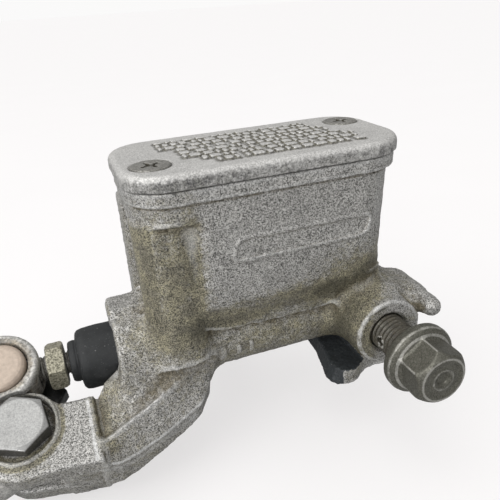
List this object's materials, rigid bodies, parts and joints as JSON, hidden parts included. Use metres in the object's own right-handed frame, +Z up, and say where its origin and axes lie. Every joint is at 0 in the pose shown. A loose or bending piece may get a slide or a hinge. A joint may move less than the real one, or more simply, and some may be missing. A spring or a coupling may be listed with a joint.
{
  "type": "motorcycle brake master cylinder",
  "caption": "Handlebar brake master cylinder with a rectangular fluid reservoir, screwed cap, pull lever, push rod, bar clamp and side hose bolt.",
  "frame": {"origin": "on the handlebar clamp's split face of the body, halfway between the bar's bore and the upper bolt's hole, in the middle of the clamp's width", "axes": "+X along the bore towards the closed hose end, +Y towards the handlebar, +Z up to the reservoir cap; the lever's blade points to -X"},
  "size_m": [0.2091, 0.0911, 0.0768],
  "materials": {
    "cast_aluminium": "aged die-cast, satin, fine speckle, dirt in the corners",
    "cap_aluminium": "aged satin, lightly scratched",
    "lever_aluminium": "satin, worn",
    "piston_aluminium": "machined",
    "barrel_aluminium": "satin, warm tan",
    "steel": "turned, lightly aged",
    "bright_steel": "bright zinc plate",
    "dark_steel": "dark olive-grey, aged",
    "zinc_steel": "yellow zinc, speckled",
    "rubber": "matt",
    "plate_plastic": "matt",
    "brass": "plain bearing bush"
  },
  "bodies": {
    "body": {"body_casting": "cast_aluminium", "reservoir_cap": "cap_aluminium", "cap_screw_front_left": "steel", "cap_screw_back_right": "steel", "rubber_diaphragm": "rubber", "diaphragm_plate": "plate_plastic", "port_shield": "steel", "return_spring": "steel", "stop_washer": "steel", "circlip": "steel", "dust_boot": "rubber", "pivot_bolt": "bright_steel", "pivot_nut": "zinc_steel", "banjo_bolt": "dark_steel", "clamp_cap": "cast_aluminium", "clamp_washer_lower": "steel", "clamp_washer_upper": "steel", "clamp_bolt_lower": "steel", "clamp_bolt_upper": "steel"},
    "lever": {"brake_lever": "lever_aluminium", "pivot_bush": "brass"},
    "barrel": {"lever_barrel": "barrel_aluminium", "push_rod": "steel", "lock_nut": "zinc_steel"},
    "piston": {"piston": "piston_aluminium", "primary_cup": "rubber", "secondary_cup": "rubber"}
  },
  "joints": [
    {"name": "lever_pivot", "type": "hinge", "parent": "body", "child": "lever", "pos_m": [-0.0545, -0.04494, -0.02799], "axis": [0, 0.454, -0.891], "range_deg": [0, 22]},
    {"name": "barrel_swivel", "type": "hinge", "parent": "lever", "child": "barrel", "pos_m": [-0.0573, -0.0322, -0.0215], "axis": [0, 0.454, -0.891], "range_deg": [-23, 1]},
    {"name": "piston_slide", "type": "slide", "parent": "body", "child": "piston", "axis": [1, 0, 0], "range_m": [0, 0.0057], "deforming": ["return_spring", "dust_boot"]}
  ],
  "couplings": [
    {"joint": "barrel_swivel", "follows": "lever_pivot", "ratio": -1},
    {"joint": "piston_slide", "follows": "lever_pivot", "m_per_rad": 0.01448}
  ]
}
